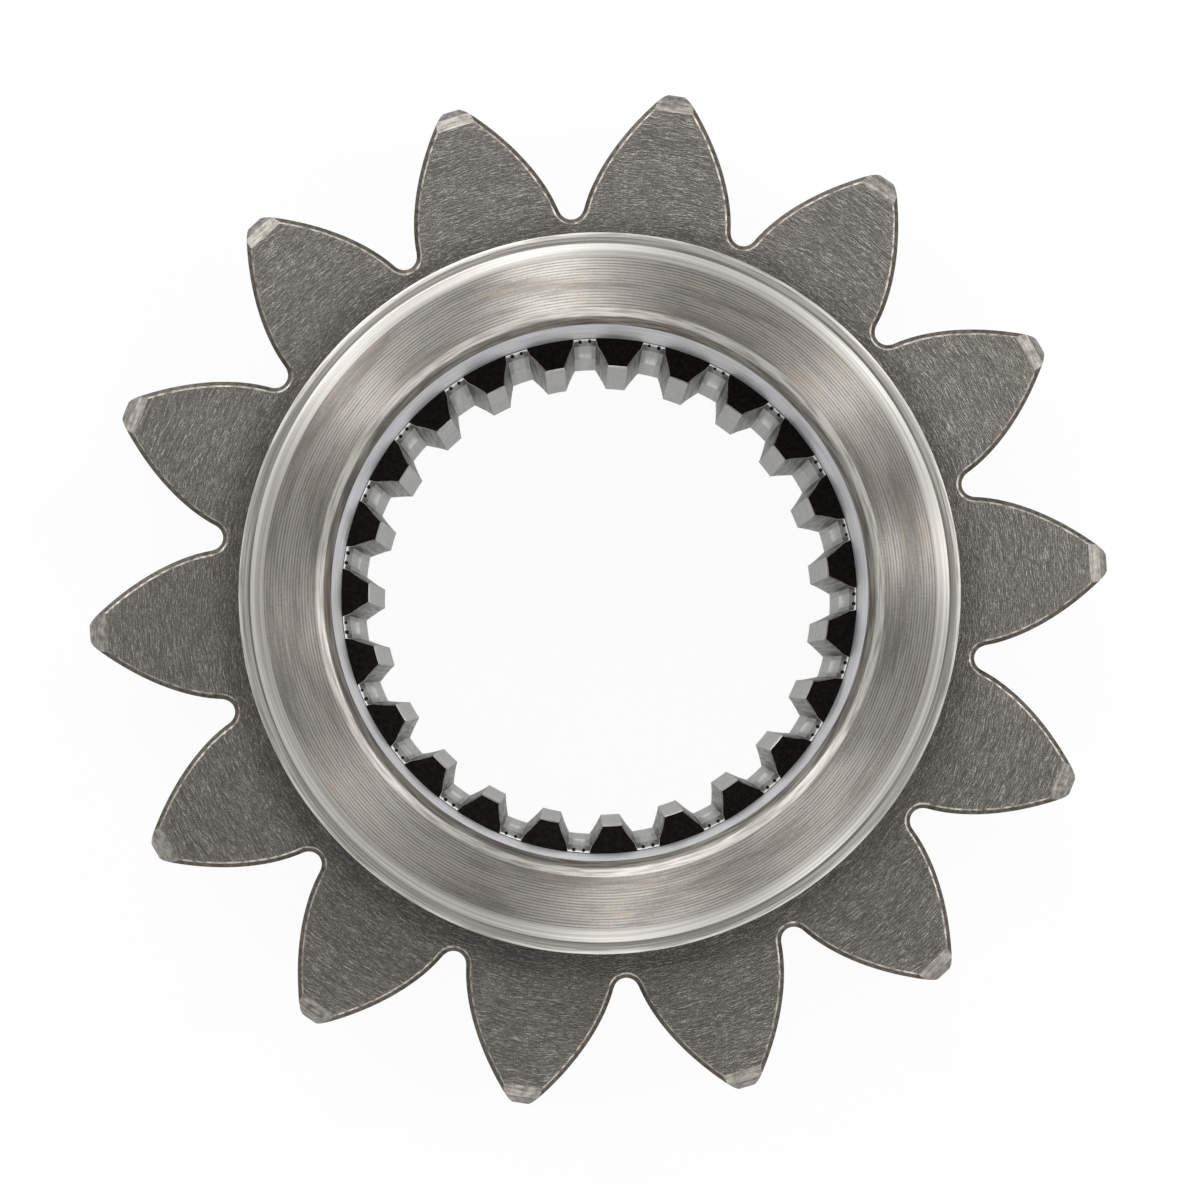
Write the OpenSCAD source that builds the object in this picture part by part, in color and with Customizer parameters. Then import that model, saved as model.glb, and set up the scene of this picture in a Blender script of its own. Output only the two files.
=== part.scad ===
// Pinion gear with a raised hub, a counterbore and a splined bore, machined from one piece of steel.
// Millimetres. The back face lies on z = 0, the gear axis is Z and the hub points up.
// The teeth are involutes cut by a rack with a fully rounded tip, so each root is a true trochoid.

/* [Gear teeth] */
// Number of gear teeth
teeth = 14; // [13:1:17]
// Gear module: pitch diameter divided by the number of teeth
gear_module = 4.6; // [4.4:0.1:5.0]
// Pressure angle of the tooth flanks, in degrees
pressure_angle = 25; // [24:0.25:26]
// Profile shift, as a share of the module
profile_shift = 0.867; // [0.8:0.01:0.9]
// Tooth height above the shifted pitch line, as a share of the module
addendum = 0.8; // [0.7:0.01:0.85]
// Tooth depth below the shifted pitch line, as a share of the module
dedendum = 1.42; // [1.35:0.01:1.46]
// Angle of the first tooth from +X, in degrees
tooth_phase = 4; // [0:0.5:12]
// Thickness of the toothed disc
face_w = 15.8; // [12:0.2:18]

/* [Tooth edges] */
// Width of the shallow facet turned on the tooth tips, hub side
tip_facet_w = 0.9; // [0.6:0.1:1.2]
// Depth of the shallow facet
tip_facet_h = 0.45; // [0.3:0.05:0.7]
// Width of the steep outer facet on the tooth tips, hub side
tip_bevel_w = 0.6; // [0.4:0.1:0.8]
// Depth of the steep outer facet
tip_bevel_h = 0.9; // [0.6:0.1:1.4]
// Chamfer on the tooth tips, back side
back_chamfer = 1; // [0.5:0.1:1.5]
// Break along the two corners of each tooth tip
tip_break = 0.2; // [0.1:0.05:0.3]
// Width and depth of the chamfer that follows the tooth outline, hub side
outline_chamfer = 0.36; // [0.2:0.02:0.4]

/* [Hub] */
// Overall length, back face to hub end face
overall_h = 36.5; // [32:0.5:42]
// Hub outer diameter
hub_d = 52.8; // [50:0.2:54]
// Fillet where the hub meets the tooth face
hub_fillet = 1; // [0.5:0.1:1.5]
// Width of the shallow bevel next to the hub end face
hub_bevel_w = 1; // [0.6:0.1:1.4]
// Depth of the shallow bevel
hub_bevel_h = 0.5; // [0.3:0.1:0.9]
// Width of the steep bevel outside it
hub_slope_w = 0.55; // [0.3:0.05:0.8]
// Depth of the steep bevel
hub_slope_h = 1.1; // [0.7:0.1:1.6]
// Width and depth of the last break down to the hub side
hub_edge = 0.35; // [0.2:0.05:0.5]

/* [Counterbore] */
// Counterbore diameter
counterbore_d = 39.1; // [38.8:0.1:40.5]
// Counterbore depth below the hub end face
counterbore_depth = 12.5; // [9:0.5:15]
// Width of the chamfer at the counterbore mouth
mouth_chamfer_w = 0.55; // [0.3:0.05:0.8]
// Depth of the chamfer at the counterbore mouth
mouth_chamfer_h = 0.9; // [0.5:0.1:1.4]
// Width of the lapped edge between the mouth chamfer and the end face
lapped_edge_w = 0.5; // [0.3:0.05:0.7]
// Depth of the lapped edge
lapped_edge_h = 0.14; // [0.1:0.02:0.2]

/* [Splined bore] */
// Number of spline teeth
spline_teeth = 23; // [21:1:24]
// Spline module: pitch diameter divided by the number of spline teeth
spline_module = 1.5875; // [1.56:0.0025:1.6]
// Pressure angle of the spline, in degrees
spline_angle = 30; // [29:0.5:31]
// Diameter across the spline tooth crests
spline_crest_d = 34.8; // [34.4:0.1:35.4]
// Diameter across the roots of the spline spaces
spline_root_d = 38; // [37.6:0.1:38.4]
// Angle of the first spline tooth from +X, in degrees
spline_phase = 7.1; // [0:0.1:15]
// Diameter of the entry bevel at the counterbore end of each spline space
entry_d = 39; // [38.6:0.1:39.1]
// Depth of the entry bevel
entry_h = 0.7; // [0.4:0.1:1]
// Chamfer on the spline teeth at the back face
bore_chamfer = 1; // [0.5:0.1:1.4]

/* [Hidden] */
// Facet count that stands for a true circle
$fn = 180;
// Straight pieces along each gear flank
flank_steps = 9;
// Straight pieces along each root curve
root_steps = 5;
// Straight pieces along each spline flank
spline_steps = 5;
// Overlap that lets cuts and joins pass cleanly
lap = 0.3;
// How far the tooth outline runs past the tip circle before the turned disc trims it
tip_over = 0.1;
// How far the chamfer wedge runs past the metal
chamfer_over = 0.05;
// Gear pitch radius
pitch_r = gear_module * teeth / 2;
// Gear base radius
base_r = pitch_r * cos(pressure_angle);
// Tip radius
tip_r = pitch_r + gear_module * (profile_shift + addendum);
// Radius of the fully rounded rack tip that cuts the roots
rack_r = gear_module * (PI / 4 - dedendum * tan(pressure_angle)) * cos(pressure_angle)
    / (1 - sin(pressure_angle));
// Distance from the pitch line down to the centre of the rack tip
rack_drop = gear_module * (dedendum - profile_shift) - rack_r;
// Half the angle of a gear tooth where its flanks reach the base circle
base_half = 90 / teeth + (2 * profile_shift * tan(pressure_angle) / teeth) * 180 / PI + inv(pressure_angle);
// Radius where the root curve hands over to the involute
form_r = norm(root_point(90 - pressure_angle));
// Flat part of the tooth tips ends here, hub side
face_r = tip_r - tip_facet_w - tip_bevel_w;
// Hub radius
hub_r = hub_d / 2;
// Counterbore radius
counterbore_r = counterbore_d / 2;
// Height of the counterbore floor
floor_z = overall_h - counterbore_depth;
// Spline pitch radius
spline_pitch_r = spline_module * spline_teeth / 2;
// Spline base radius
spline_base_r = spline_pitch_r * cos(spline_angle);
// Half the angle of a spline space at the base circle
space_half = 90 / spline_teeth + inv(spline_angle);
// Names of the separate parts
// Part to build

// Involute function, from an angle in degrees to an angle in degrees
function inv(a) = tan(a) * 180 / PI - a;

// Half the angle of a gear tooth at radius r
function tooth_half(r) = base_half - inv(acos(base_r / r));

// Half the angle of a spline space at radius r
function space_half_at(r) = space_half - inv(acos(spline_base_r / r));

// Point of the root curve for rack contact angle b, seen from the middle of the tooth gap
function root_point(b) =
    let (
        s = rack_drop * tan(b),
        roll = s / pitch_r * 180 / PI,
        x = s + rack_r * sin(b),
        y = pitch_r - rack_drop - rack_r * cos(b)
    )
    norm([x, y]) * [cos(atan2(x, y) - roll), sin(atan2(x, y) - roll)];

// Angle and radius pairs from the middle of a gap to the tip of the next tooth
function half_profile() = concat(
    [
        for (i = [0 : root_steps])
            let (p = root_point((90 - pressure_angle) * i / root_steps))
            [atan2(p.y, p.x) - 180 / teeth, norm(p)]
    ],
    [
        for (i = [1 : flank_steps])
            let (r = form_r + (tip_r - tip_break - form_r) * i / flank_steps)
            [-tooth_half(r), r]
    ],
    [
        let (
            low = tooth_half(tip_r - tip_break),
            high = tooth_half(tip_r) - asin(tip_break / 2 / tip_r)
        )
        [-low + (low - high) * (tip_break + tip_over) / tip_break, tip_r + tip_over]
    ]
);

// Closed gear outline, counterclockwise, a little taller than the tip circle
function outline() =
    let (half = half_profile(), n = len(half))
    [
        for (k = [0 : teeth - 1])
            let (centre = tooth_phase + 360 * k / teeth)
            for (i = [0 : 2 * n - 2])
                let (
                    q = i < n ? half[i] : half[2 * n - 1 - i],
                    a = centre + (i < n ? q[0] : -q[0])
                )
                q[1] * [cos(a), sin(a)]
    ];

// Open outline of one tooth gap, from the tip of one tooth to the tip of the next
function gap_outline() =
    let (half = half_profile(), n = len(half))
    [
        for (i = [0 : 2 * n - 2])
            let (
                q = i < n ? half[n - 1 - i] : half[i - n + 1],
                a = tooth_phase + (i < n ? -q[0] : 360 / teeth + q[0])
            )
            q[1] * [cos(a), sin(a)]
    ];

// Unit normal of the edge from a to b, into the metal on its left
function inward(a, b) = [a.y - b.y, b.x - a.x] / norm(b - a);

// Points of an open outline moved by d into the metal, each edge parallel to the edge it came from
function inset(pts, d) =
    let (n = len(pts))
    [
        for (i = [0 : n - 1])
            let (
                u = inward(pts[max(i - 1, 0)], pts[max(i, 1)]),
                v = inward(pts[min(i, n - 2)], pts[min(i + 1, n - 1)])
            )
            pts[i] + d * (u + v) / (1 + u * v)
    ];

// Outline of one spline space, running past the crests and the entry bevel
function space_outline() =
    let (
        inner = spline_crest_d / 2 - lap,
        root = spline_root_d / 2,
        side = [
            for (i = [0 : spline_steps])
                let (r = inner + (root - inner) * i / spline_steps)
                [space_half_at(r), r]
        ],
        end = [space_half_at(root), entry_d / 2 + lap],
        edge = concat(side, [end]),
        n = len(edge)
    )
    [
        for (i = [0 : 2 * n - 1])
            let (
                q = i < n ? edge[i] : edge[2 * n - 1 - i],
                a = i < n ? -q[0] : q[0]
            )
            q[1] * [cos(a), sin(a)]
    ];

// Wedge that cuts the chamfer around one tooth gap
module gap_chamfer() {
    pts = gap_outline();
    n = len(pts);
    low = inset(pts, -chamfer_over);
    high = inset(pts, outline_chamfer + chamfer_over);
    polyhedron(
        points = concat(
            [for (p = low) [p.x, p.y, face_w - outline_chamfer - chamfer_over]],
            [for (p = high) [p.x, p.y, face_w + chamfer_over]],
            [for (p = low) [p.x, p.y, face_w + chamfer_over]]
        ),
        faces = concat(
            [[0, n, 2 * n]],
            [[n - 1, 3 * n - 1, 2 * n - 1]],
            [
                for (side = [0 : 2])
                    for (i = [0 : n - 2])
                        let (a = side * n, b = ((side + 1) % 3) * n)
                        [a + i, a + i + 1, b + i + 1, b + i]
            ]
        )
    );
}

// Turned disc that carries the teeth, with its tip facets
module disc_blank() {
    rotate_extrude()
        polygon([
            [0, 0],
            [tip_r - back_chamfer, 0],
            [tip_r, back_chamfer],
            [tip_r, face_w - tip_facet_h - tip_bevel_h],
            [tip_r - tip_bevel_w, face_w - tip_facet_h],
            [face_r, face_w],
            [0, face_w]
        ]);
}

// Toothed disc
module toothed_disc() {
    difference() {
        intersection() {
            disc_blank();
            translate([0, 0, -lap])
                linear_extrude(height = face_w + 2 * lap)
                    polygon(outline());
        }
        for (k = [0 : teeth - 1])
            rotate(360 * k / teeth)
                gap_chamfer();
    }
}

// Hub turned on the toothed disc, with its bevels and the fillet at its foot
module hub() {
    rotate_extrude()
        polygon([
            [0, face_w - lap],
            [hub_r, face_w - lap],
            [hub_r, overall_h - hub_bevel_h - hub_slope_h - hub_edge],
            [hub_r - hub_edge, overall_h - hub_bevel_h - hub_slope_h],
            [hub_r - hub_edge - hub_slope_w, overall_h - hub_bevel_h],
            [hub_r - hub_edge - hub_slope_w - hub_bevel_w, overall_h],
            [0, overall_h]
        ]);
    rotate_extrude()
        difference() {
            translate([hub_r - lap, face_w - lap])
                square([hub_fillet + lap, hub_fillet + lap]);
            translate([hub_r + hub_fillet, face_w + hub_fillet])
                circle(hub_fillet);
        }
}

// Counterbore with its mouth chamfer and lapped edge
module counterbore() {
    rotate_extrude()
        polygon([
            [0, floor_z],
            [counterbore_r, floor_z],
            [counterbore_r, overall_h - lapped_edge_h - mouth_chamfer_h],
            [counterbore_r + mouth_chamfer_w, overall_h - lapped_edge_h],
            [counterbore_r + mouth_chamfer_w + lapped_edge_w, overall_h],
            [counterbore_r + mouth_chamfer_w + lapped_edge_w, overall_h + lap],
            [0, overall_h + lap]
        ]);
}

// Round bore inside the spline crests, chamfered at the back face
module crest_bore() {
    translate([0, 0, -lap])
        cylinder(h = floor_z + 2 * lap, d = spline_crest_d);
    translate([0, 0, -lap])
        cylinder(
            h = bore_chamfer + lap,
            d1 = spline_crest_d + 2 * bore_chamfer + 2 * lap,
            d2 = spline_crest_d
        );
}

// All the spline spaces, with the entry bevel at the counterbore end of each
module spline_spaces() {
    intersection() {
        for (k = [0 : spline_teeth - 1])
            rotate(spline_phase + 360 * (k + 0.5) / spline_teeth)
                translate([0, 0, -lap])
                    linear_extrude(height = floor_z + 2 * lap)
                        polygon(space_outline());
        union() {
            translate([0, 0, -2 * lap])
                cylinder(h = floor_z + 2 * lap, d = spline_root_d);
            translate([0, 0, floor_z - entry_h])
                cylinder(h = entry_h, d1 = spline_root_d, d2 = entry_d);
            translate([0, 0, floor_z])
                cylinder(h = 2 * lap, d = entry_d);
        }
    }
}

// The whole gear, one solid
module pinion_gear() {
    color([0.5, 0.48, 0.46])
        difference() {
            union() {
                toothed_disc();
                hub();
            }
            counterbore();
            crest_bore();
            spline_spaces();
        }
}

pinion_gear();
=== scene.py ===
import math

import bmesh
import bpy
from mathutils import Matrix, Vector


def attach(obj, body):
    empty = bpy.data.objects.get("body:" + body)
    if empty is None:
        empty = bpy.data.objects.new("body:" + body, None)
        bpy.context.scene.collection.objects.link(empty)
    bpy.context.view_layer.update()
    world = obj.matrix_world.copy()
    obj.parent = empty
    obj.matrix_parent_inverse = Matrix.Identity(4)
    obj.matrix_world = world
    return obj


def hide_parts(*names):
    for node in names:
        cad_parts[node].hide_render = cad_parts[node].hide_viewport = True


bl_info = {
    "name": "Pinion gear",
    "version": (1, 0, 0),
    "blender": (4, 5, 0),
    "location": "3D View > Sidebar > Pinion gear",
    "description": "Builds a splined steel pinion gear with its machined finishes, and a photo stage",
    "category": "Object",
}

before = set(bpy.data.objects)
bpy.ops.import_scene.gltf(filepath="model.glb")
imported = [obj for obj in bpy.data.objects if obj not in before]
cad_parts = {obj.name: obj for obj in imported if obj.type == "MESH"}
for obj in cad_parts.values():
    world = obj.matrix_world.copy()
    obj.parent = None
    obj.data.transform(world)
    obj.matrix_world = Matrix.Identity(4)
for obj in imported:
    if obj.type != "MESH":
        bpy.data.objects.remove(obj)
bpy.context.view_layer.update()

MM = 0.001
AXIS = Vector((0.0, 0.0, 1.0))
CENTRE = Vector((0.0, 0.0, 0.0))

# Straight steps round the hub: SECTOR_STEPS for each gear tooth, SPLINE_STEPS for each spline tooth
SECTOR_STEPS = 23
SPLINE_STEPS = 14
RING_STEPS = SECTOR_STEPS * SPLINE_STEPS

# How far the tips stay inside the CAD box
INSIDE = 5e-7
# Points closer than this become one
MERGE_GAP = 2e-7
# Points closer than this to a cutting plane lie on it
CUT_GAP = 1e-8
# Margins that tell which level, radius, bore or foot a point or face belongs to
LEVEL_GAP = 1e-7
RADIUS_GAP = 1e-6
BORE_GAP = 1e-5
FOOT_GAP = 5e-5

# How much a face points up when it is level, slopes gently or slopes steeply
LEVEL = 0.999
GENTLE = 0.87
STEEP = 0.3
# The same for the end face of the hub, told from its softened corners, and for the worn spline edges
END_FACE = 0.9999
SPLINE_EDGE = 0.4
# How much a face points one way when it mostly does
MOSTLY = 0.9
# Edges bent by more than this look sharp
SHARP_BEND = math.radians(20)

# The photo's frame and focal length in pixels, the sensor in mm, and the camera's place in metres
FRAME_PIXELS = 1200.0
FOCAL_PIXELS = 3890.0
SENSOR = 36.0
EYE = Vector((-0.0013, -0.0062, 0.3188))
AIM = Vector((0.0001, -0.00017, 0.0158))
UP_HINT = Vector((0.0006, 1.0, 0.0))

# Turns the drawn-out gloss so that it crosses the grooves
QUARTER_TURN = 0.25

FLOOR_RADIUS = 1.6
FLOOR_DROP = 0.0002
LAMP_DISTANCE = 0.8


def length(name, description, default):
    """A size in metres."""
    return bpy.props.FloatProperty(
        name=name, description=description, default=default, min=0.0, unit="LENGTH", precision=5
    )


def turn(name, description, degrees):
    """An angle, given in degrees."""
    return bpy.props.FloatProperty(
        name=name, description=description, default=math.radians(degrees), unit="ROTATION"
    )


def share(name, description, default):
    """A number from 0 to 1."""
    return bpy.props.FloatProperty(name=name, description=description, default=default, min=0.0, max=1.0)


class ToothSizes(bpy.types.PropertyGroup):
    """Sizes of the gear teeth."""

    count: bpy.props.IntProperty(name="Teeth", description="Number of gear teeth", default=14, min=8)
    module: length("Module", "Pitch diameter divided by the number of teeth", 0.0046)
    pressure_angle: turn("Pressure angle", "Pressure angle of the flanks", 25.0)
    shift: share("Profile shift", "Profile shift as a share of the module", 0.867)
    addendum: share("Addendum", "Height above the shifted pitch line, as a share of the module", 0.8)
    dedendum: bpy.props.FloatProperty(
        name="Dedendum",
        description="Depth below the shifted pitch line, as a share of the module",
        default=1.42,
    )
    phase: turn("Phase", "Angle of the first tooth", 4.0)
    face_width: length("Face width", "Thickness of the toothed disc", 0.0158)
    facet_width: length("Tip facet width", "Width of the bright facet on the tips", 0.0009)
    facet_depth: length("Tip facet depth", "Depth of the bright facet on the tips", 0.00045)
    bevel_width: length("Tip bevel width", "Width of the steep bevel on the tips", 0.0006)
    bevel_depth: length("Tip bevel depth", "Depth of the steep bevel on the tips", 0.0009)
    back_chamfer: length("Back chamfer", "Chamfer on the tips at the back", 0.001)
    tip_break: length("Tip break", "Break along the corners of the tips", 0.0002)
    rim: length("Rim chamfer", "Chamfer along the tooth outline", 0.00036)
    rim_line: length("Rim line", "Worn line along the inner border of the rim chamfer", 0.00008)


class HubSizes(bpy.types.PropertyGroup):
    """Sizes of the hub and its counterbore."""

    overall: length("Overall length", "Back face to hub end face", 0.0365)
    radius: length("Radius", "Hub outer radius", 0.0264)
    fillet: length("Foot fillet", "Fillet where the hub meets the tooth face", 0.001)
    bevel_width: length("Bevel width", "Width of the bevel next to the end face", 0.001)
    bevel_depth: length("Bevel depth", "Depth of the bevel next to the end face", 0.0005)
    slope_width: length("Slope width", "Width of the steep bevel outside it", 0.00055)
    slope_depth: length("Slope depth", "Depth of the steep bevel", 0.0011)
    edge: length("Edge", "Break down to the hub side", 0.00035)
    bore_radius: length("Counterbore radius", "Radius of the counterbore", 0.01955)
    bore_depth: length("Counterbore depth", "Depth of the counterbore below the end face", 0.0125)
    mouth_width: length("Mouth chamfer width", "Width of the chamfer at the mouth", 0.00055)
    mouth_depth: length("Mouth chamfer depth", "Depth of the chamfer at the mouth", 0.0009)
    lapped_width: length("Lapped edge width", "Width of the lapped edge at the mouth", 0.0005)
    lapped_depth: length("Lapped edge depth", "Depth of the lapped edge at the mouth", 0.00014)
    softening: length("Softened corners", "Rounding of the turned corners", 0.00008)


class SplineSizes(bpy.types.PropertyGroup):
    """Sizes of the splined bore."""

    count: bpy.props.IntProperty(name="Teeth", description="Number of spline teeth", default=23, min=8)
    module: length("Module", "Pitch diameter divided by the number of spline teeth", 0.0015875)
    pressure_angle: turn("Pressure angle", "Pressure angle of the spline", 30.0)
    crest_radius: length("Crest radius", "Radius across the crests", 0.0174)
    root_radius: length("Root radius", "Radius across the roots", 0.019)
    entry_radius: length("Entry radius", "Radius of the entry bevel in each space", 0.0195)
    entry_depth: length("Entry depth", "Depth of the entry bevel", 0.0007)
    phase: turn("Phase", "Angle of the first spline tooth", 7.1)
    chamfer: length("Back chamfer", "Chamfer on the spline teeth at the back", 0.001)
    edge: length("Edge", "Break along the edges of the end faces", 0.0001)


def polar(radius, angle, height=0.0):
    """A point from its radius, angle and height."""
    return Vector((radius * math.cos(angle), radius * math.sin(angle), height))


def radius_of(point):
    """Distance from the gear axis."""
    return math.hypot(point.x, point.y)


def involute(angle):
    """The involute function."""
    return math.tan(angle) - angle


def half_tooth(teeth):
    """Angle and radius of each outline point from the middle of a gap to the middle of a tooth tip."""
    alpha = teeth.pressure_angle
    pitch_r = teeth.module * teeth.count / 2
    base_r = pitch_r * math.cos(alpha)
    tip_r = pitch_r + teeth.module * (teeth.shift + teeth.addendum) - INSIDE
    # The rack that cuts the roots has a fully round tip: its radius, and its centre's depth
    rack_r = (
        teeth.module
        * (math.pi / 4 - teeth.dedendum * math.tan(alpha))
        * math.cos(alpha)
        / (1 - math.sin(alpha))
    )
    drop = teeth.module * (teeth.dedendum - teeth.shift) - rack_r
    shift_half = 2 * teeth.shift * math.tan(alpha) / teeth.count
    base_half = math.pi / 2 / teeth.count + shift_half + involute(alpha)

    def flank(radius):
        return involute(math.acos(base_r / radius)) - base_half

    root_steps, flank_steps, tip_steps = 10, 26, 3
    points = []
    for i in range(root_steps + 1):
        contact = (math.pi / 2 - alpha) * i / root_steps
        run = drop * math.tan(contact)
        x = run + rack_r * math.sin(contact)
        y = pitch_r - drop - rack_r * math.cos(contact)
        points.append((math.atan2(x, y) - run / pitch_r - math.pi / teeth.count, math.hypot(x, y)))
    form_r = points[-1][1]
    end_r = tip_r - teeth.tip_break
    for i in range(1, flank_steps + 1):
        radius = form_r + (end_r - form_r) * i / flank_steps
        points.append((flank(radius), radius))
    corner = flank(tip_r) + teeth.tip_break / 2 / tip_r
    points += [(corner * (1 - i / tip_steps), tip_r) for i in range(tip_steps + 1)]
    return points


def all_of(shape):
    """Every point, edge and face of a shape."""
    return shape.verts[:] + shape.edges[:] + shape.faces[:]


def settled(shape):
    """The shape in an order that comes from its places only: bevels and spins vary it from run to run."""
    points = sorted(shape.verts, key=lambda v: (v.co.to_tuple(7), v.co[:]))
    rank = {v: i for i, v in enumerate(points)}
    loops = []
    for face in shape.faces:
        loop = [rank[v] for v in face.verts]
        first = loop.index(min(loop))
        loops.append(loop[first:] + loop[:first])
    fresh = bmesh.new()
    made = [fresh.verts.new(v.co) for v in points]
    for loop in sorted(loops):
        fresh.faces.new([made[i] for i in loop])
    fresh.normal_update()
    shape.free()
    return fresh


def bevel_edges(shape, edges, width):
    """Turns each edge into one flat strip that starts this far from it on both sides."""
    bmesh.ops.bevel(
        shape,
        geom=edges,
        offset=width,
        offset_type="OFFSET",
        segments=1,
        profile=0.5,
        affect="EDGES",
        material=-1,
    )


def cut_flat(shape, where, normal):
    """Cuts away what lies in front of a plane and closes the cut with one flat face."""
    cut = bmesh.ops.bisect_plane(
        shape,
        geom=all_of(shape),
        dist=CUT_GAP,
        plane_co=where,
        plane_no=normal,
        clear_outer=True,
    )
    rim = [item for item in cut["geom_cut"] if isinstance(item, bmesh.types.BMEdge)]
    bmesh.ops.contextual_create(shape, geom=rim)


def ring_copies(shape, count):
    """Repeats the whole shape around the axis."""
    bmesh.ops.spin(
        shape,
        geom=all_of(shape),
        cent=CENTRE,
        axis=AXIS,
        dvec=(0.0, 0.0, 0.0),
        angle=2 * math.pi * (count - 1) / count,
        steps=count - 1,
        use_duplicate=True,
    )


def place_of(point):
    """Where a point stands as seen along the axis, rounded so that it can be looked up."""
    return (round(point.co.x, 8), round(point.co.y, 8))


def drawn_wall(shape, chain, drop):
    """Draws the edges of a chain of points down into a wall, and returns the points of its lower edge."""
    edges = [shape.edges.get((a, b)) for a, b in zip(chain, chain[1:])]
    drawn = bmesh.ops.extrude_edge_only(shape, edges=edges)
    lower = [item for item in drawn["geom"] if isinstance(item, bmesh.types.BMVert)]
    bmesh.ops.translate(shape, verts=lower, vec=(0.0, 0.0, -drop))
    by_place = {place_of(v): v for v in lower}
    return [by_place[place_of(v)] for v in chain]


def toothed_disc(teeth, hub):
    """One tooth with its share of the disc, chamfered and faceted, repeated around the axis."""
    shape = bmesh.new()
    half = half_tooth(teeth)
    tip_r = half[-1][1]
    foot_r = hub.radius + hub.fillet
    step = 2 * math.pi / teeth.count
    top = teeth.face_width
    outline = [polar(r, a, top) for a, r in half] + [polar(r, -a, top) for a, r in half[-2::-1]]
    foot = [polar(foot_r, step / 2 - step * i / SECTOR_STEPS, top) for i in range(SECTOR_STEPS + 1)]
    rim = [shape.verts.new(p) for p in outline]
    inner = [shape.verts.new(p) for p in foot]
    shape.faces.new(rim + inner)
    lower = drawn_wall(shape, rim, top)
    inner_lower = [shape.verts.new((p.x, p.y, 0.0)) for p in foot]
    shape.faces.new(inner_lower[::-1] + lower[::-1])
    bevel_edges(shape, [shape.edges.get((a, b)) for a, b in zip(rim, rim[1:])], teeth.rim)
    shape = settled(shape)
    line = [
        e
        for e in shape.edges
        if len(e.link_faces) == 2
        and all(abs(v.co.z - top) < LEVEL_GAP for v in e.verts)
        and min(abs(f.normal.z) for f in e.link_faces) < LEVEL
    ]
    bevel_edges(shape, line, teeth.rim_line)
    shape = settled(shape)
    facet_r = tip_r - teeth.facet_width - teeth.bevel_width
    bevel_r = tip_r - teeth.bevel_width
    cut_flat(shape, (facet_r, 0.0, top), (teeth.facet_depth, 0.0, teeth.facet_width))
    cut_flat(shape, (bevel_r, 0.0, top - teeth.facet_depth), (teeth.bevel_depth, 0.0, teeth.bevel_width))
    cut_flat(shape, (tip_r, 0.0, teeth.back_chamfer), (1.0, 0.0, -1.0))
    shape = settled(shape)
    ring_copies(shape, teeth.count)
    return shape


def turned_rings(teeth, hub):
    """The hub and its counterbore, turned from one profile, and the ring of the back face."""
    shape = bmesh.new()
    start = -math.pi / teeth.count
    end_z = hub.overall
    shoulder_r = hub.radius - hub.edge
    bevel_r = shoulder_r - hub.slope_width
    mouth_r = hub.bore_radius + hub.mouth_width
    profile = [
        (hub.radius, end_z - hub.bevel_depth - hub.slope_depth - hub.edge),
        (shoulder_r, end_z - hub.bevel_depth - hub.slope_depth),
        (bevel_r, end_z - hub.bevel_depth),
        (bevel_r - hub.bevel_width, end_z),
        (mouth_r + hub.lapped_width, end_z),
        (mouth_r, end_z - hub.lapped_depth),
        (hub.bore_radius, end_z - hub.lapped_depth - hub.mouth_depth),
    ]
    fillet_steps = 6
    foot = [
        (
            hub.radius + hub.fillet * (1 - math.sin(math.pi / 2 * i / fillet_steps)),
            teeth.face_width + hub.fillet * (1 - math.cos(math.pi / 2 * i / fillet_steps)),
        )
        for i in range(fillet_steps + 1)
    ]
    corners = [shape.verts.new(polar(r, start, z)) for r, z in profile]
    chain = [shape.verts.new(polar(r, start, z)) for r, z in foot] + corners
    chain.append(shape.verts.new(polar(hub.bore_radius, start, end_z - hub.bore_depth)))
    for a, b in zip(chain, chain[1:]):
        shape.edges.new((a, b))
    bmesh.ops.bevel(
        shape, geom=corners, offset=hub.softening, segments=2, profile=0.5, affect="VERTICES", material=-1
    )
    back = [shape.verts.new(polar(r, start)) for r in (hub.bore_radius, hub.radius + hub.fillet)]
    shape.edges.new(back)
    bmesh.ops.spin(
        shape,
        geom=shape.verts[:] + shape.edges[:],
        cent=CENTRE,
        axis=AXIS,
        dvec=(0.0, 0.0, 0.0),
        angle=2 * math.pi,
        steps=RING_STEPS,
        use_merge=True,
        use_duplicate=False,
    )
    return settled(shape)


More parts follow.
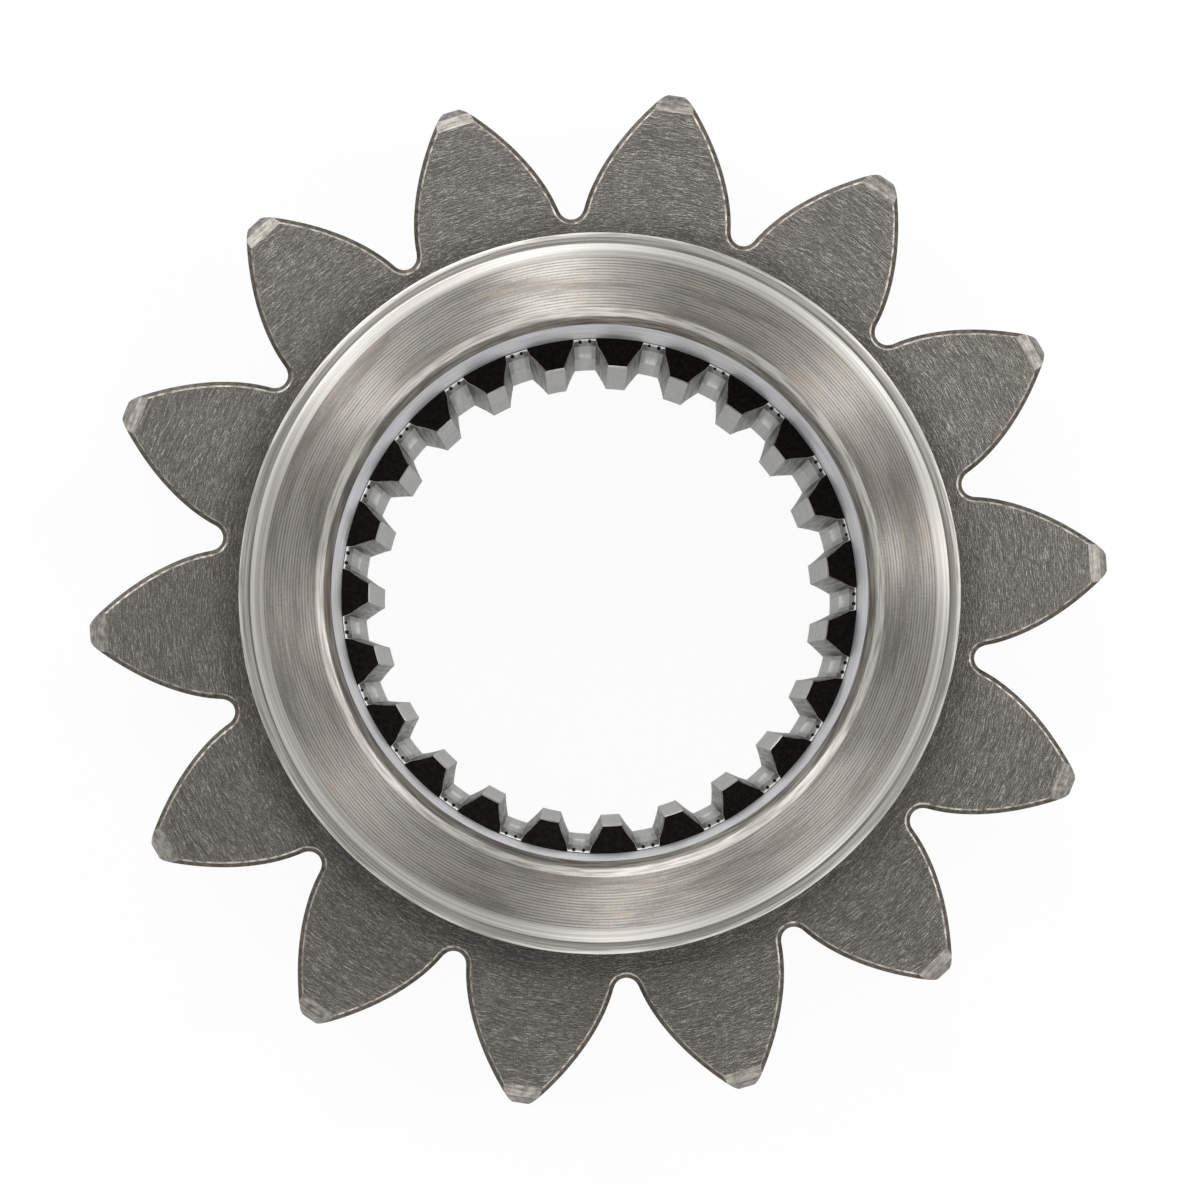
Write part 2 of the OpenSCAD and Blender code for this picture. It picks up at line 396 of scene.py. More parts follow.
def splined_bore(spline, teeth, hub):
    """One spline tooth with its share of the bore, repeated around the axis."""
    shape = bmesh.new()
    pitch_r = spline.module * spline.count / 2
    base_r = pitch_r * math.cos(spline.pressure_angle)
    half_space = math.pi / 2 / spline.count + involute(spline.pressure_angle)
    step = 2 * math.pi / spline.count
    floor_z = hub.overall - hub.bore_depth

    def flank(radius):
        return step / 2 - half_space + involute(math.acos(base_r / radius))

    flank_steps, crest_steps = 6, 4
    root, crest = spline.root_radius, spline.crest_radius
    corner = flank(root)
    side = [(step / 2, root), ((step / 2 + corner) / 2, root)]
    side += [
        (flank(root + (crest - root) * i / flank_steps), root + (crest - root) * i / flank_steps)
        for i in range(flank_steps + 1)
    ]
    crown = side[-1][0]
    side += [(crown * (1 - i / crest_steps), crest) for i in range(1, crest_steps + 1)]
    points = side + [(-a, r) for a, r in side[-2::-1]]
    # The arc is turned a little so that its points meet those of the turned rings
    ring_step = 2 * math.pi / RING_STEPS
    first = -math.pi / teeth.count + teeth.phase - spline.phase + step / 2
    slip = first - ring_step * math.floor(first / ring_step + 0.5)
    arc = [(-step / 2 + slip + ring_step * i, hub.bore_radius) for i in range(SPLINE_STEPS + 1)]
    inner = [shape.verts.new(polar(r, a, floor_z)) for a, r in points]
    shape.faces.new([shape.verts.new(polar(r, a, floor_z)) for a, r in arc] + inner)
    lower = drawn_wall(shape, inner, floor_z)
    shape.faces.new([shape.verts.new(polar(r, a)) for a, r in arc] + lower)
    shape = settled(shape)
    cut_flat(shape, (crest, 0.0, spline.chamfer), (-1.0, 0.0, -1.0))
    bmesh.ops.bisect_plane(
        shape,
        geom=all_of(shape),
        dist=CUT_GAP,
        plane_co=(0.0, 0.0, floor_z - spline.entry_depth),
        plane_no=AXIS,
    )
    for v in shape.verts:
        if abs(v.co.z - floor_z) < LEVEL_GAP and abs(radius_of(v.co) - root) < RADIUS_GAP:
            v.co.x *= spline.entry_radius / root
            v.co.y *= spline.entry_radius / root
    rim = [
        e
        for e in shape.edges
        if all(abs(v.co.z - floor_z) < LEVEL_GAP and radius_of(v.co) < root - RADIUS_GAP for v in e.verts)
    ]
    bevel_edges(shape, rim, spline.edge)
    shape = settled(shape)
    ring_copies(shape, spline.count)
    return shape


class Term:
    """A shader socket that takes part in sums as a number does."""

    def __init__(self, graph, socket):
        self.graph = graph
        self.socket = socket

    def __add__(self, other):
        return self.graph.math("ADD", self, other)

    def __radd__(self, other):
        return self.graph.math("ADD", other, self)

    def __sub__(self, other):
        return self.graph.math("SUBTRACT", self, other)

    def __rsub__(self, other):
        return self.graph.math("SUBTRACT", other, self)

    def __mul__(self, other):
        return self.graph.math("MULTIPLY", self, other)

    def __rmul__(self, other):
        return self.graph.math("MULTIPLY", other, self)

    def __truediv__(self, other):
        return self.graph.math("DIVIDE", self, other)

    def __rtruediv__(self, other):
        return self.graph.math("DIVIDE", other, self)


class Graph:
    """A node tree that expressions add their nodes to."""

    def __init__(self, tree):
        self.tree = tree

    def node(self, kind, settings=None, inputs=None, output=0):
        """Adds a node with its settings and its inputs' values or links, and gives one of its outputs."""
        made = self.tree.nodes.new(kind)
        for name, value in (settings or {}).items():
            setattr(made, name, value)
        for name, value in (inputs or {}).items():
            if isinstance(value, Term):
                self.tree.links.new(value.socket, made.inputs[name])
            else:
                made.inputs[name].default_value = value
        return Term(self, made.outputs[output])

    def math(self, operation, *values):
        return self.node("ShaderNodeMath", {"operation": operation}, dict(enumerate(values)))

    def vector(self, x, y, z):
        return self.node("ShaderNodeCombineXYZ", None, {0: x, 1: y, 2: z})

    def step(self, value, low, high):
        """Rises smoothly from 0 at low to 1 at high."""
        settings = {"interpolation_type": "SMOOTHSTEP"}
        inputs = {"Value": value, "From Min": low, "From Max": high}
        return self.node("ShaderNodeMapRange", settings, inputs)

    def band(self, value, middle, half_width):
        """1 at the middle, falling to 0 at half_width from it."""
        return 1.0 - self.step(self.math("ABSOLUTE", value - middle), 0.0, half_width)

    def noise(self, vector, detail=2.0):
        """Soft noise with features about 1 unit of the vector across."""
        return self.node("ShaderNodeTexNoise", None, {"Vector": vector, "Scale": 1.0, "Detail": detail})

    def colours(self, factor, first, second):
        """Goes from the first colour to the second: inputs 6 and 7 of a mix node, and its output 2."""
        ends = {6: first, 7: second}
        ends = {k: v if isinstance(v, Term) else (*v, 1.0) for k, v in ends.items()}
        return self.node("ShaderNodeMix", {"data_type": "RGBA"}, {0: factor, **ends}, 2)

    def shaded(self, colour, amount):
        """Multiplies a colour by a number."""
        inputs = {0: colour, "Scale": amount}
        return self.node("ShaderNodeVectorMath", {"operation": "SCALE"}, inputs)


class Finish(Graph):
    """A material on the gear, with its place in millimetres and as radius and direction."""

    def __init__(self, name):
        self.material = bpy.data.materials.new(name)
        self.material.use_nodes = True
        super().__init__(self.material.node_tree)
        self.shader = self.tree.nodes["Principled BSDF"]
        place = self.node("ShaderNodeTexCoord", output="Object")
        inputs = {0: place, "Scale": 1.0 / MM}
        self.place = self.node("ShaderNodeVectorMath", {"operation": "SCALE"}, inputs)
        split = self.node("ShaderNodeSeparateXYZ", None, {0: self.place})
        sockets = split.socket.node.outputs
        self.x, self.y, self.z = (Term(self, sockets[i]) for i in range(3))
        self.r = self.math("SQRT", self.x * self.x + self.y * self.y)
        self.cos, self.sin = self.x / self.r, self.y / self.r

    def grooves(self, across, fineness, along, detail=2.0, shift=0.0):
        """Noise drawn out round the axis: fineness per mm across, and along times round the circle."""
        place = self.vector(across * fineness + shift, self.cos * along, self.sin * along)
        return self.noise(place, detail)

    def draws(self, fineness, along, detail=2.0):
        """Noise drawn out along the axis."""
        return self.noise(self.vector(self.x * fineness, self.y * fineness, self.z * along), detail)

    def grain(self, fineness, detail=1.5):
        """Even noise, fineness per mm."""
        inputs = {0: self.place, "Scale": fineness}
        return self.noise(self.node("ShaderNodeVectorMath", {"operation": "SCALE"}, inputs), detail)

    def set(self, colour, roughness, metallic=1.0, height=None, depth=0.0, turned=0.0, gloss=0.5):
        """Feeds the shader: depth is the relief in mm, and turned is how far grooves draw out the gloss."""
        for name, value in (("Base Color", colour), ("Roughness", roughness), ("Metallic", metallic)):
            if isinstance(value, Term):
                self.tree.links.new(value.socket, self.shader.inputs[name])
            else:
                self.shader.inputs[name].default_value = value
        self.shader.inputs["Specular IOR Level"].default_value = gloss
        if turned:
            self.shader.inputs["Anisotropic"].default_value = turned
            self.shader.inputs["Anisotropic Rotation"].default_value = QUARTER_TURN
        if height:
            inputs = {"Strength": 1.0, "Distance": depth * MM, "Height": height}
            bump = self.node("ShaderNodeBump", None, inputs)
            self.tree.links.new(bump.socket, self.shader.inputs["Normal"])
        return self.material


def tooth_face(hub_r):
    """Dark heat-treated face with short ground strokes round the axis and a fine grain, and painted shade
    near the hub.
    """
    f = Finish("tooth_face")
    patches = f.grain(0.4, 1.0)
    strokes = f.grooves(f.r + 0.5 * patches, 13.0, 84.0, 1.5)
    scratches = f.grooves(f.r + 0.7 * patches, 14.0, 24.0, 0.0, 5.0)
    grain = f.grain(10.0, 1.5)
    mark = f.step(strokes * 0.4 + scratches * 0.22 + grain * 0.38, 0.43, 0.57)
    colour = f.colours(mark, (0.117, 0.108, 0.095), (0.225, 0.214, 0.195))
    bright = f.step(0.4 * strokes + 0.26 * scratches + 0.34 * grain, 0.56, 0.64)
    colour = f.colours(bright * 0.6, colour, (0.56, 0.536, 0.495))
    # Painted shade: the face is darker near the hub's foot
    clear_of_painted_hub_shade = f.step(f.r, hub_r + 1.6, hub_r + 4.6)
    colour = f.shaded(colour, (0.62 + 0.38 * clear_of_painted_hub_shade) * (0.9 + 0.2 * patches))
    return f.set(colour, 0.42 + 0.2 * grain, 0.95, 0.8 * strokes + 0.5 * scratches + 0.5 * grain, 0.04)


def rim_chamfer():
    """Dark burnt-looking chamfer round the tooth outline."""
    f = Finish("rim_chamfer")
    mark = f.step(f.grain(3.0), 0.3, 0.7)
    colour = f.colours(mark, (0.07, 0.06, 0.048), (0.15, 0.136, 0.114))
    return f.set(colour, 0.45 + 0.15 * mark, 0.9, mark, 0.015)


def rim_line():
    """Broken bright line where the chamfer meets the tooth face."""
    f = Finish("rim_line")
    worn = f.step(f.grain(1.9, 3.0), 0.28, 0.68)
    return f.set(f.colours(worn, (0.13, 0.12, 0.105), (0.45, 0.425, 0.38)), 0.55 - 0.12 * worn)


def tip_facet():
    """Bright facet with fine turning lines."""
    f = Finish("tip_facet")
    lines = f.grooves(f.r, 8.0, 22.0, 1.5)
    blotch = f.step(f.grain(1.8, 2.5), 0.25, 0.75)
    colour = f.colours(f.step(lines, 0.3, 0.7), (0.25, 0.234, 0.209), (0.41, 0.39, 0.353))
    return f.set(f.shaded(colour, 0.55 + 0.8 * blotch), 0.4 + 0.2 * blotch, 1.0, lines, 0.02, 0.5)


def tip_bevel():
    """Stained steep bevel outside the facet."""
    f = Finish("tip_bevel")
    lines = f.grooves(f.z, 8.0, 10.0, 1.5)
    stain = f.step(f.grain(2.4, 2.5), 0.25, 0.75)
    colour = f.colours(f.step(lines, 0.3, 0.7), (0.19, 0.178, 0.158), (0.33, 0.314, 0.284))
    return f.set(f.shaded(colour, 0.5 + 0.75 * stain), 0.32 + 0.14 * stain, 1.0, lines, 0.02)


def flank():
    """Finished tooth flank with fine lines along the tooth."""
    f = Finish("flank")
    lines = f.draws(11.0, 0.6, 1.5)
    blotch = f.grain(0.4, 1.0)
    colour = f.colours(f.step(lines, 0.3, 0.7), (0.19, 0.179, 0.162), (0.31, 0.296, 0.272))
    return f.set(f.shaded(colour, 0.84 + 0.32 * blotch), 0.34 + 0.14 * blotch, 1.0, lines, 0.015)


def tip_land():
    """Turned outer surface of the tips."""
    f = Finish("tip_land")
    lines = f.grooves(f.z, 8.0, 10.0, 1.5)
    colour = f.colours(f.step(lines, 0.3, 0.7), (0.19, 0.178, 0.158), (0.33, 0.314, 0.284))
    return f.set(colour, 0.32 + 0.14 * f.grain(0.8), 1.0, lines, 0.02)


def hub_side():
    """Turned side of the hub."""
    f = Finish("hub_side")
    lines = f.grooves(f.z, 8.0, 4.0, 1.5) * 0.6 + 0.2 + 0.2 * f.math("SINE", f.z * 30.0)
    colour = f.colours(f.step(lines, 0.25, 0.75), (0.2, 0.19, 0.173), (0.32, 0.307, 0.283))
    colour = f.shaded(colour, 0.86 + 0.28 * f.grain(0.25, 1.0))
    return f.set(colour, 0.34 + 0.1 * lines, 1.0, lines, 0.012, 0.6)


def hub_shoulder(hub_r):
    """Greyer steep bevel with a line of painted shade at its foot."""
    f = Finish("hub_shoulder")
    lines = f.grooves(f.z, 3.0, 2.5, 1.5)
    colour = f.colours(f.step(lines, 0.34, 0.66), (0.18, 0.166, 0.146), (0.385, 0.367, 0.335))
    # Painted shade: a dark line in a narrow band of radius
    foot = f.band(f.r, hub_r - 0.86, 0.2)
    colour = f.colours(0.5 * foot, colour, (0.07, 0.06, 0.05))
    return f.set(colour, 0.34 + 0.12 * lines, 1.0, lines, 0.02)


def hub_bevel(hub_r):
    """Bright turned bevel, lighter in its outer half as a painted highlight."""
    f = Finish("hub_bevel")
    lines = f.grooves(f.r, 7.0, 1.6, 1.5)
    colour = f.colours(f.step(lines, 0.34, 0.66), (0.53, 0.51, 0.475), (0.76, 0.74, 0.7))
    # Painted highlight: the outer half of the bevel is lighter
    colour = f.shaded(colour, 0.78 + 0.27 * f.step(f.r, hub_r - 1.9, hub_r - 1.1))
    return f.set(colour, 0.46 + 0.1 * lines, 1.0, lines, 0.015, 0.9)


def hub_face():
    """Turned end face: regular fine feed lines, some of them warm or dark."""
    f = Finish("hub_face")
    drift = f.grooves(f.r, 0.6, 2.2, 1.0)
    feed = 0.5 + 0.5 * f.math("SINE", f.r * 30.0 + drift * 5.0)
    fine = f.grooves(f.r, 6.4, 8.0, 2.0)
    broad = f.grooves(f.r, 1.4, 1.0, 1.0, 7.0)
    lines = fine * 0.5 + feed * 0.3 * f.step(drift, 0.3, 0.6) + 0.22 * f.grain(9.0, 1.0)
    colour = f.colours(f.step(lines, 0.28, 0.68), (0.262, 0.244, 0.219), (0.54, 0.516, 0.478))
    warm = f.step(fine, 0.53, 0.62) * f.step(broad, 0.44, 0.6)
    colour = f.colours(0.6 * warm, colour, (0.375, 0.308, 0.236))
    colour = f.shaded(colour, 0.9 + 0.2 * broad)
    return f.set(colour, 0.3 + 0.04 * broad, 1.0, lines, 0.006, 0.94)


def worn_edge_and_painted_light(hub_r):
    """Bright worn corner at the mouth, and at the hub's rim the same finish greyed by painted shade, with a
    painted highlight on its very edge.
    """
    f = Finish("worn_edge_and_painted_light")
    lines = f.grooves(f.r, 7.0, 8.0, 1.5)
    colour = f.colours(f.step(lines, 0.3, 0.62), (0.36, 0.34, 0.305), (0.62, 0.6, 0.56))
    # Painted shade greys the finish on the hub's rim
    painted_rim_shade = f.step(f.r, hub_r - 0.8, hub_r - 0.5)
    # Painted highlight brightens the rim's very edge
    painted_edge_highlight = f.step(f.r, hub_r - 0.3, hub_r - 0.1)
    colour = f.shaded(colour, 1.05 - 0.25 * painted_rim_shade + 0.4 * painted_edge_highlight)
    return f.set(colour, 0.42 + 0.1 * lines, 1.0, lines, 0.015, 0.88)


def mouth_chamfer():
    """Dark brownish chamfer at the mouth of the counterbore."""
    f = Finish("mouth_chamfer")
    lines = f.grooves(f.z, 5.0, 7.0)
    colour = f.colours(f.step(lines, 0.35, 0.65), (0.25, 0.23, 0.2), (0.47, 0.447, 0.405))
    return f.set(colour, 0.34 + 0.12 * lines, 1.0, lines, 0.02)


def counterbore():
    """Bluish smooth-bored wall with patches of fine lines."""
    f = Finish("counterbore")
    lines = f.grooves(f.z, 6.0, 3.0, 1.5)
    passes = f.grooves(f.z, 0.7, 6.0, 2.0)
    patches = f.noise(f.vector(f.cos * 8.0, f.sin * 8.0, f.z * 0.05), 1.5)
    tone = f.step(lines * 0.65 + passes * 0.35, 0.34, 0.66)
    colour = f.colours(tone, (0.42, 0.425, 0.437), (0.69, 0.695, 0.709))
    colour = f.shaded(colour, 0.87 + 0.26 * f.step(patches, 0.2, 0.8))
    return f.set(colour, 0.42 + 0.12 * patches, 0.4, lines, 0.015)


def spline_end():
    """Near-black, almost glossless end faces of the spline teeth."""
    f = Finish("spline_end")
    mark = f.step(f.grain(3.0), 0.35, 0.75)
    colour = f.colours(mark, (0.004, 0.0036, 0.003), (0.012, 0.0105, 0.009))
    return f.set(colour, 0.55 + 0.2 * mark, 0.0, f.grain(6.0), 0.02, gloss=0.05)


def spline_tooth(spline, floor_z):
    """Broached steel: pale crests, streaked flanks, and roots with tool marks near the mouth, a painted
    highlight down their middle, a painted glint, and a painted highlight along their top edge.
    """
    f = Finish("spline_tooth")
    crest, root = spline.crest_radius / MM, spline.root_radius / MM
    streaks = f.draws(4.5, 0.1, 2.0)
    fine = f.grooves(f.z, 1.6, 14.0, 1.5)
    steel = f.colours(f.step(streaks, 0.38, 0.62), (0.1, 0.096, 0.088), (0.42, 0.412, 0.395))
    pale = f.colours(f.step(fine, 0.3, 0.7), (0.42, 0.415, 0.403), (0.56, 0.553, 0.54))
    on_crest = 1.0 - f.step(f.r, crest + 0.02, crest + 0.08)
    colour = f.colours(on_crest, steel, pale)
    turned = (f.math("ARCTAN2", f.y, f.x) - spline.phase) * float(spline.count)
    # Painted highlight: the middle of each root is lighter than its sides
    middle = 1.0 - f.step(f.math("COSINE", turned), -0.97, -0.72)
    upper = f.step(f.z, 0.45 * floor_z, 0.51 * floor_z)
    uneven = f.noise(f.vector(f.cos * 7.0, f.sin * 7.0, f.z * 0.1), 1.0)
    glint = upper * (1.0 - f.step(f.z + 6.0 * uneven, 0.62 * floor_z, floor_z))
    glint = glint * middle * f.step(uneven, 0.3, 0.6)
    root_steel = f.colours(upper, (0.42, 0.415, 0.4), (0.2, 0.195, 0.185))
    root_steel = f.colours(0.6 * middle, root_steel, (0.6, 0.595, 0.58))
    root_steel = f.colours(glint, root_steel, (1.0, 1.0, 0.99))
    on_root = f.step(f.r, root - 0.14, root - 0.04)
    colour = f.colours(on_root, colour, f.shaded(root_steel, 0.6 + 0.8 * streaks))
    rough = f.grain(1.3, 1.0)
    # Painted highlight: a ragged near-white line along the top edge of each root, where the steel is also
    # made unmetallic
    painted_brink_highlight = f.step(f.z + 0.25 * rough, floor_z - 0.12, floor_z + 0.02) * on_root
    colour = f.colours(painted_brink_highlight, colour, (0.95, 0.94, 0.92))
    across = f.math("ABSOLUTE", f.math("SINE", turned))
    dots = f.band(across, 0.42, 0.24) * f.band(f.z, floor_z - 0.24, 0.3) * (2.4 * rough - 0.2)
    colour = f.colours(f.step(dots * on_root, 0.22, 0.42), colour, (0.012, 0.01, 0.009))
    f.shader.inputs["Specular Tint"].default_value = (0.45, 0.45, 0.45, 1.0)
    return f.set(colour, 0.32 + 0.16 * streaks, 0.6 - 0.6 * painted_brink_highlight, streaks, 0.04)


def back_face():
    """Turned back face, a little stained."""
    f = Finish("back_face")
    fine = f.grooves(f.r, 9.0, 1.2, 1.5) * 0.6 + 0.2 + 0.2 * f.math("SINE", f.r * 26.0)
    stain = f.grain(0.22, 2.0)
    colour = f.colours(f.step(fine, 0.25, 0.75), (0.2, 0.188, 0.168), (0.33, 0.315, 0.288))
    colour = f.shaded(colour, 0.74 + 0.52 * stain)
    return f.set(colour, 0.34 + 0.16 * stain, 1.0, fine, 0.01, 0.7)


SLOTS = (
    "tooth_face",
    "rim_chamfer",
    "rim_line",
    "tip_facet",
    "tip_bevel",
    "flank",
    "tip_land",
    "hub_side",
    "hub_shoulder",
    "hub_bevel",
    "hub_face",
    "worn_edge_and_painted_light",
    "mouth_chamfer",
    "counterbore",
    "spline_end",
    "spline_tooth",
    "back_face",
)


def finishes(spline, hub):
    """Every finish of the gear, in the order of the slots."""
    hub_r = hub.radius / MM
    floor_z = (hub.overall - hub.bore_depth) / MM
    toothed = [tooth_face(hub_r), rim_chamfer(), rim_line(), tip_facet(), tip_bevel(), flank(), tip_land()]
    turned = [hub_side(), hub_shoulder(hub_r), hub_bevel(hub_r), hub_face(), worn_edge_and_painted_light(hub_r)]
    bored = [mouth_chamfer(), counterbore(), spline_end(), spline_tooth(spline, floor_z)]
    return toothed + turned + bored + [back_face()]


def toothed_finish(face, teeth):
    """The finish of a face of the toothed disc, other than its back face."""
    centre = face.calc_center_median()
    r, up = radius_of(centre), face.normal.z
    outward = (face.normal.x * centre.x + face.normal.y * centre.y) / r
    tip_r = teeth.module * (teeth.count / 2 + teeth.shift + teeth.addendum)
    facet_r = tip_r - teeth.facet_width - teeth.bevel_width
    on_tip = r > facet_r and outward > MOSTLY * math.hypot(face.normal.x, face.normal.y)
    if up > LEVEL:
        return "tooth_face"
    if up > GENTLE:
        return "tip_facet" if on_tip else "rim_line"
    if up > STEEP:
        return "tip_bevel" if on_tip else "rim_chamfer"
    return "tip_land" if r > tip_r - teeth.back_chamfer and outward > MOSTLY else "flank"


def splined_finish(face, floor_z, spline):
    """The finish of a face of the splined bore, other than its back face."""
    z, up = face.calc_center_median().z, face.normal.z
    if up < -STEEP:
        return "mouth_chamfer"
    if up > MOSTLY:
        return "spline_end"
    return "worn_edge_and_painted_light" if up > SPLINE_EDGE and z > floor_z - spline.edge else "spline_tooth"


def turned_finish(face, hub):
    """The finish of a face of the hub end: its flat ring, its bevels and their softened corners."""
    r = radius_of(face.calc_center_median())
    shoulder_r = hub.radius - hub.edge - hub.softening
    bevel_r = shoulder_r - hub.slope_width
    mouth_r = hub.bore_radius + hub.mouth_width + hub.softening
    if face.normal.z > END_FACE:
        return "hub_face"
    if r > shoulder_r:
        return "worn_edge_and_painted_light"
    if r > bevel_r:
        return "hub_shoulder"
    if r > bevel_r - hub.bevel_width:
        return "hub_bevel"
    return "worn_edge_and_painted_light" if r > mouth_r else "mouth_chamfer"


def finish_of(face, teeth, hub, spline):
    """The name of the finish that a face has, from where it lies and how it faces."""
    centre = face.calc_center_median()
    r, z = radius_of(centre), centre.z
    floor_z = hub.overall - hub.bore_depth
    if z < RADIUS_GAP:
        return "back_face"
    if r > hub.radius + hub.fillet - FOOT_GAP:
        return toothed_finish(face, teeth)
    if r < hub.bore_radius - BORE_GAP and z < floor_z + RADIUS_GAP:
        return splined_finish(face, floor_z, spline)
    if r < hub.bore_radius + BORE_GAP:
        return "counterbore"
    if z < hub.overall - hub.bevel_depth - hub.slope_depth - hub.edge - hub.softening:
        return "hub_side"
    return turned_finish(face, hub)


def joined_gear(teeth, hub, spline):
    """The toothed disc, the turned rings and the splined bore, joined into one closed shape."""
    whole = bmesh.new()
    for part, phase in (
        (toothed_disc(teeth, hub), teeth.phase),
        (turned_rings(teeth, hub), teeth.phase),
        (splined_bore(spline, teeth, hub), spline.phase),
    ):
        bmesh.ops.rotate(part, cent=CENTRE, matrix=Matrix.Rotation(phase, 3, "Z"), verts=part.verts[:])
        held = bpy.data.meshes.new("part")
        part.to_mesh(held)
        part.free()
        whole.from_mesh(held)
        bpy.data.meshes.remove(held)
    bmesh.ops.remove_doubles(whole, verts=whole.verts[:], dist=MERGE_GAP)
    bmesh.ops.recalc_face_normals(whole, faces=whole.faces[:])
    whole.normal_update()
    open_edges = [e for e in whole.edges if not e.is_manifold]
    if open_edges:
        raise RuntimeError("the gear mesh isn't closed: %d open edges" % len(open_edges))
    return whole


class PINION_OT_gear(bpy.types.Operator):
    """Build the gear as one closed mesh, in place of the plain CAD solid"""

    bl_idname = "pinion.gear"
    bl_label = "Build gear"

    def execute(self, context):
        scene = context.scene
        teeth, hub, spline = scene.pinion_teeth, scene.pinion_hub, scene.pinion_spline
        whole = joined_gear(teeth, hub, spline)
        for face in whole.faces:
            face.material_index = SLOTS.index(finish_of(face, teeth, hub, spline))
            face.smooth = True
        for edge in whole.edges:
            a, b = edge.link_faces
            edge.smooth = a.material_index == b.material_index and edge.calc_face_angle() < SHARP_BEND
        mesh = bpy.data.meshes.new("pinion_body")
        whole.to_mesh(mesh)
        whole.free()
        gear = bpy.data.objects.new("pinion_body", mesh)
        context.scene.collection.objects.link(gear)
        for material in finishes(spline, hub):
            mesh.materials.append(material)
        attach(gear, "root")
        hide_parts("pinion_gear")
        return {"FINISHED"}


LAMPS = (
    # name, azimuth and elevation in degrees, width and height in metres, brightness
    ("key_strip", 99, 50, 0.085, 0.6, 8.2),
    ("left_strip", 139, 44, 0.08, 0.5, 10.2),
    ("right_strip", 41, 44, 0.08, 0.5, 9.4),
    ("low_strip", 272, 42, 0.1, 0.4, 6.5),
    ("side_strip", 9, 42, 0.07, 0.4, 13.0),
    ("far_strip", 309, 42, 0.06, 0.35, 8.0),
    ("edge_strip", 118, 9, 0.5, 0.2, 5.0),
)


def background_rays(graph):
    """1 for rays that see the background: the camera's, and those that metal reflects or glass lets by."""
    names = ("Is Camera Ray", "Is Glossy Ray", "Is Transmission Ray")
    camera, glossy, through = (graph.node("ShaderNodeLightPath", output=name) for name in names)
    return graph.math("MAXIMUM", graph.math("MAXIMUM", camera, glossy), through)


def floor_finish():
    """Pale paper that takes the gear's shadow, white as a background, and clear when seen from below."""
    material = bpy.data.materials.new("floor_white")
    material.use_nodes = True
    graph = Graph(material.node_tree)
    paper = material.node_tree.nodes["Principled BSDF"]
    paper.inputs["Base Color"].default_value = (0.85, 0.85, 0.85, 1.0)
    paper.inputs["Roughness"].default_value = 0.9
    glow = graph.node("ShaderNodeEmission")
    share_of_glow = background_rays(graph) * 0.95
    inputs = {0: share_of_glow, 1: Term(graph, paper.outputs[0]), 2: glow}
    mixed = graph.node("ShaderNodeMixShader", None, inputs)
    below = graph.node("ShaderNodeNewGeometry", output="Backfacing")
    clear = graph.node("ShaderNodeBsdfTransparent")
    mixed = graph.node("ShaderNodeMixShader", None, {0: below, 1: mixed, 2: clear})
    out = material.node_tree.nodes["Material Output"]
    material.node_tree.links.new(mixed.socket, out.inputs["Surface"])
    return material


def make_floor(scene):
    """A round floor just below the gear."""
    shape = bmesh.new()
    bmesh.ops.create_circle(shape, cap_ends=True, segments=96, radius=FLOOR_RADIUS)
    bmesh.ops.translate(shape, verts=shape.verts[:], vec=(0.0, 0.0, -FLOOR_DROP))
    mesh = bpy.data.meshes.new("floor")
    shape.to_mesh(mesh)
    shape.free()
    floor = bpy.data.objects.new("floor", mesh)
    scene.collection.objects.link(floor)
    mesh.materials.append(floor_finish())


def make_surroundings(scene):
    """White surroundings, dimmer overhead."""
    world = bpy.data.worlds.new("studio")
    world.use_nodes = True
    graph = Graph(world.node_tree)
    direction = graph.node("ShaderNodeTexCoord", output="Generated")
    split = graph.node("ShaderNodeSeparateXYZ", None, {0: direction})
    overhead = graph.step(Term(graph, split.socket.node.outputs[2]), 0.15, 0.8)
    sky = world.node_tree.nodes["Background"]
    world.node_tree.links.new((1.0 - 0.52 * overhead).socket, sky.inputs["Strength"])
    sky.inputs["Color"].default_value = (1.0, 1.0, 1.0, 1.0)
    scene.world = world


def make_camera(scene):
    """The camera at the photo's angle."""
    camera_data = bpy.data.cameras.new("photo_camera")
    camera_data.sensor_width = SENSOR
    camera_data.lens = FOCAL_PIXELS / FRAME_PIXELS * SENSOR
    camera_data.clip_start = 0.01
    camera_data.clip_end = 20.0
    camera = bpy.data.objects.new("photo_camera", camera_data)
    scene.collection.objects.link(camera)
    back = (EYE - AIM).normalized()
    right = UP_HINT.cross(back).normalized()
    up = back.cross(right)
    camera.matrix_world = Matrix(
        (
            (right.x, up.x, back.x, EYE.x),
            (right.y, up.y, back.y, EYE.y),
            (right.z, up.z, back.z, EYE.z),
            (0.0, 0.0, 0.0, 1.0),
        )
    )
    scene.camera = camera
    scene.view_settings.view_transform = "Standard"


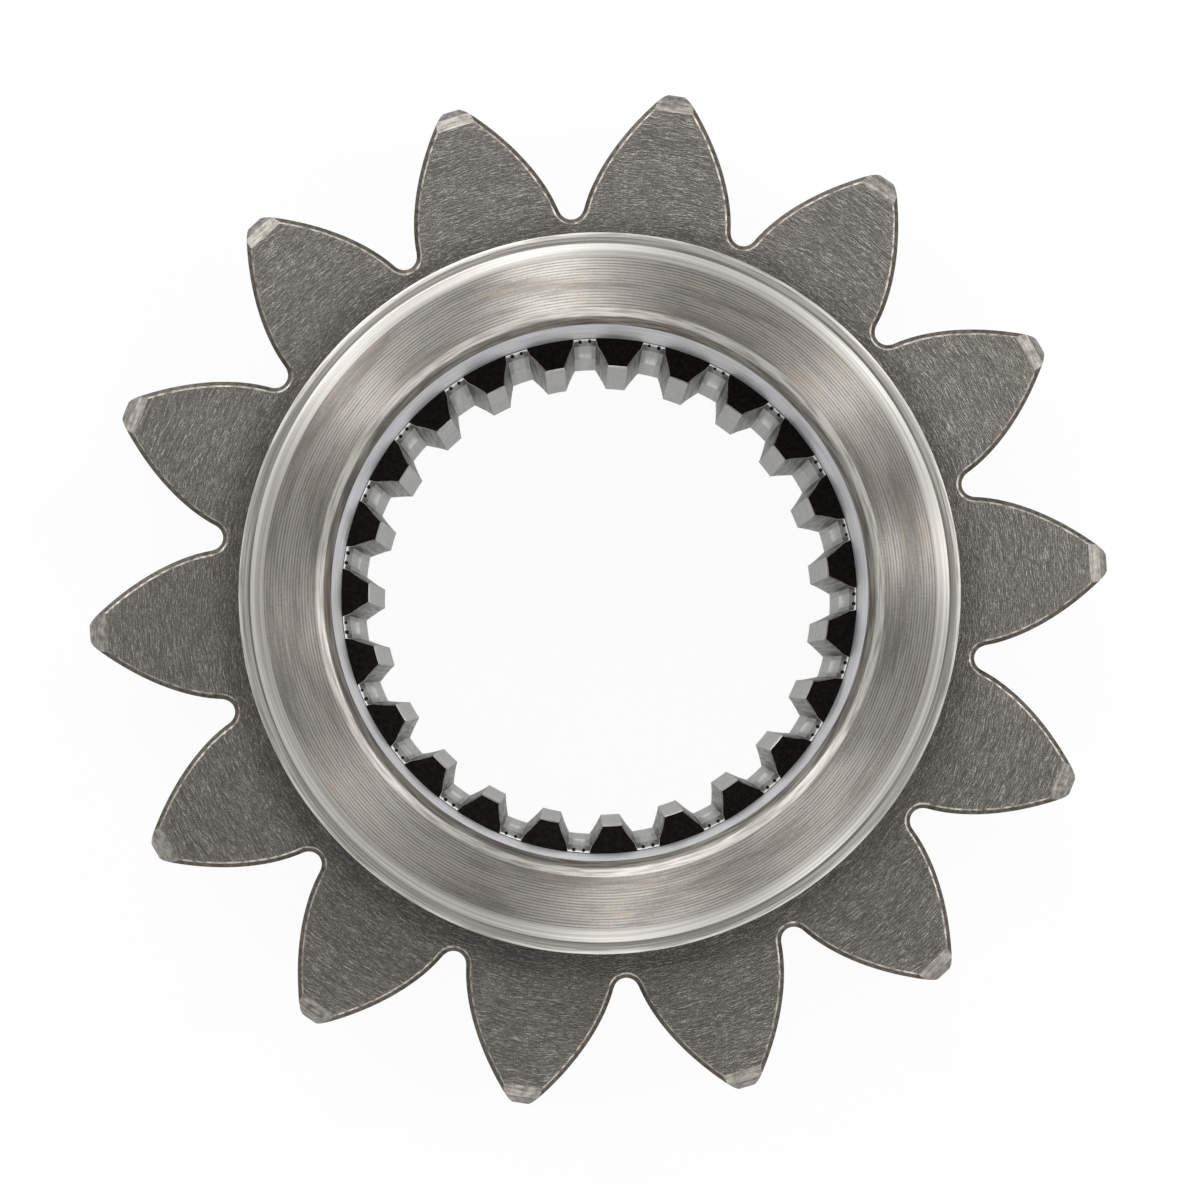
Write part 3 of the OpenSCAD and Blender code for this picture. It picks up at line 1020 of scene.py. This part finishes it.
def make_lamps(scene):
    """The strip lamps, each facing the gear."""
    for name, azimuth, elevation, wide, tall, strength in LAMPS:
        lamp_data = bpy.data.lights.new(name, "AREA")
        lamp_data.shape = "RECTANGLE"
        lamp_data.size = wide
        lamp_data.size_y = tall
        lamp_data.energy = strength * math.pi * wide * tall
        lamp = bpy.data.objects.new(name, lamp_data)
        scene.collection.objects.link(lamp)
        a, e = math.radians(azimuth), math.radians(elevation)
        toward = Vector((math.cos(a) * math.cos(e), math.sin(a) * math.cos(e), math.sin(e)))
        lamp.location = toward * LAMP_DISTANCE
        lamp.rotation_euler = toward.to_track_quat("Z", "Y").to_euler()


class PINION_OT_stage(bpy.types.Operator):
    """Set up the floor, the lamps, the surroundings and the camera"""

    bl_idname = "pinion.stage"
    bl_label = "Build stage"

    def execute(self, context):
        make_floor(context.scene)
        make_surroundings(context.scene)
        make_camera(context.scene)
        make_lamps(context.scene)
        return {"FINISHED"}


class PINION_PT_panel(bpy.types.Panel):
    """Lists what builds the gear and its stage"""

    bl_idname = "PINION_PT_panel"
    bl_label = "Pinion gear"
    bl_space_type = "VIEW_3D"
    bl_region_type = "UI"
    bl_category = "Pinion gear"

    def draw(self, context):
        for operator in (PINION_OT_gear, PINION_OT_stage):
            self.layout.operator(operator.bl_idname)


CLASSES = (ToothSizes, HubSizes, SplineSizes, PINION_OT_gear, PINION_OT_stage, PINION_PT_panel)


def register():
    for item in CLASSES:
        bpy.utils.register_class(item)
    bpy.types.Scene.pinion_teeth = bpy.props.PointerProperty(type=ToothSizes)
    bpy.types.Scene.pinion_hub = bpy.props.PointerProperty(type=HubSizes)
    bpy.types.Scene.pinion_spline = bpy.props.PointerProperty(type=SplineSizes)


def unregister():
    del bpy.types.Scene.pinion_teeth
    del bpy.types.Scene.pinion_hub
    del bpy.types.Scene.pinion_spline
    for item in reversed(CLASSES):
        bpy.utils.unregister_class(item)


def main():
    register()
    bpy.ops.pinion.gear()
    bpy.ops.pinion.stage()


if __name__ == "__main__":
    main()
